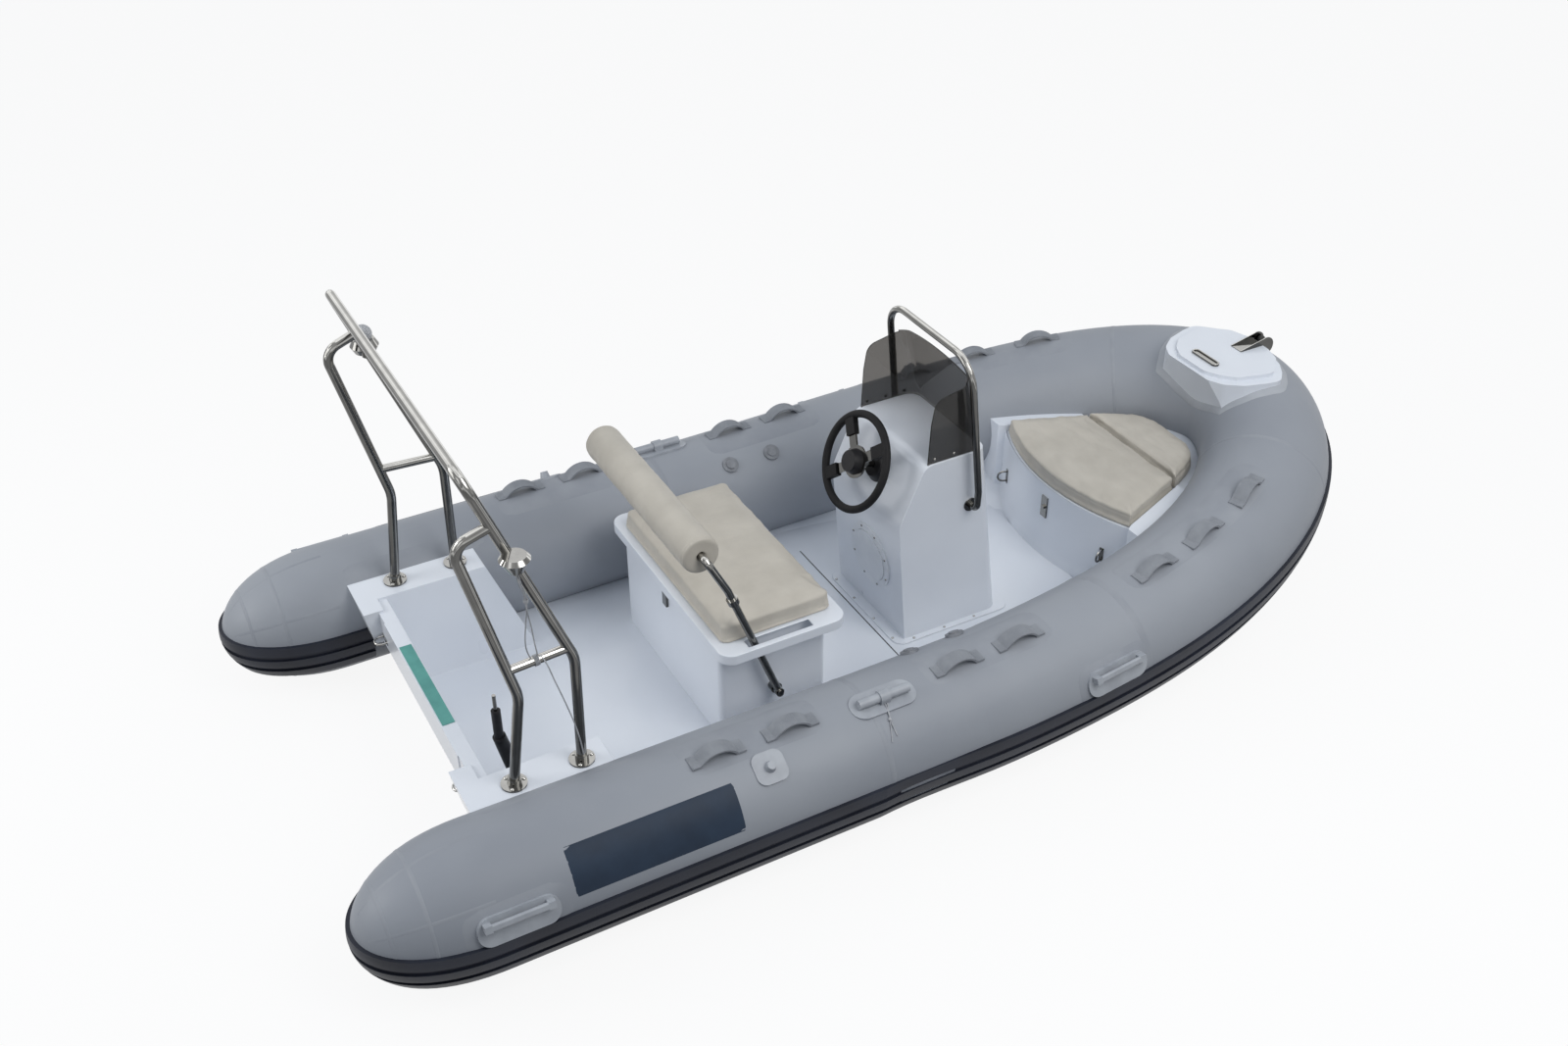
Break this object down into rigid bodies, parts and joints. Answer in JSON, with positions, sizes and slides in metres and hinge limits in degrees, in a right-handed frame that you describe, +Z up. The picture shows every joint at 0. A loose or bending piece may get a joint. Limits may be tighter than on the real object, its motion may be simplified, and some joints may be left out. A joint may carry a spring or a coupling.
{
  "type": "rigid inflatable boat",
  "caption": "Inflatable-collar boat with a rigid V hull, helm console with steering wheel, windshield and rail, pilot seat, bow locker and stern arch.",
  "frame": {"origin": "amidships on the centreline at the waterline, which touches the underside of the side tubes", "axes": "+X forward to the bow, +Y to port, +Z up"},
  "size_m": [4.098, 2.004, 1.6795],
  "materials": {
    "roller_rubber": "matte",
    "stainless": "polished",
    "cushion_vinyl": "satin",
    "gelcoat": "gloss",
    "grey_plastic": "matte",
    "webbing": "matte",
    "white_plastic": "gloss",
    "black_plastic": "matte",
    "strake_rubber": "matte",
    "teal_rubber": "matte",
    "tube_fabric": "satin",
    "wheel_foam": "matte",
    "smoked_acrylic": "gloss"
  },
  "bodies": {
    "boat": {"arch_aft_legs": "stainless", "arch_braces": "stainless", "arch_flanges": "stainless", "arch_hoop": "stainless", "bow_locker": "gelcoat", "bow_pad_forward": "cushion_vinyl", "bow_step": "gelcoat", "cable_end": "stainless", "carry_handles_port": "grey_plastic", "carry_handles_starboard": "grey_plastic", "console": "gelcoat", "console_rail": "stainless", "deck": "gelcoat", "folding_cleat": "stainless", "grab_straps_port": "webbing", "grab_straps_starboard": "webbing", "hatch_lid": "white_plastic", "hatch_ring": "white_plastic", "helm_bezel": "black_plastic", "hull": "gelcoat", "key_switch": "black_plastic", "lamp_port": "white_plastic", "lamp_starboard": "white_plastic", "locker_eyes": "stainless", "locker_hasp": "stainless", "oar_knob_port": "grey_plastic", "oar_knob_starboard": "grey_plastic", "oar_lock_port": "grey_plastic", "oar_lock_starboard": "grey_plastic", "pivot_bolts": "stainless", "rigging_boot": "black_plastic", "roller_channel": "stainless", "seat_box": "gelcoat", "seat_cushion": "cushion_vinyl", "seat_latch": "stainless", "seat_lid": "gelcoat", "stem_eye": "stainless", "strake_port": "strake_rubber", "strake_starboard": "strake_rubber", "towing_eyes": "stainless", "transom_pad": "teal_rubber", "tube_bow": "tube_fabric", "tube_port": "tube_fabric", "tube_starboard": "tube_fabric", "valves_port": "black_plastic", "valves_starboard": "black_plastic", "windshield": "smoked_acrylic"},
    "steering_wheel": {"wheel_rim": "wheel_foam", "wheel_spokes": "stainless", "wheel_grips": "wheel_foam", "wheel_hub": "black_plastic"},
    "backrest": {"backrest_frame": "stainless", "backrest_roll": "cushion_vinyl"},
    "locker_lid": {"locker_lid": "gelcoat", "bow_pad_aft": "cushion_vinyl"},
    "anchor_roller": {"anchor_roller": "roller_rubber"}
  },
  "joints": [
    {"name": "steering", "type": "hinge", "parent": "boat", "child": "steering_wheel", "pos_m": [0.13898, 0, 0.69482], "axis": [-0.9165, 0, 0.3999], "range_deg": [-584, 496]},
    {"name": "backrest_swing", "type": "hinge", "parent": "boat", "child": "backrest", "pos_m": [-0.482, 0, 0.232], "axis": [0, 1, 0], "range_deg": [0, 40]},
    {"name": "locker_lid_hinge", "type": "hinge", "parent": "boat", "child": "locker_lid", "pos_m": [1.292, 0, 0.43], "axis": [0, 1, 0], "range_deg": [0, 75]},
    {"name": "anchor_roller_spin", "type": "hinge", "parent": "boat", "child": "anchor_roller", "pos_m": [1.902, 0, 0.716], "axis": [0, 1, 0], "continuous": true}
  ]
}
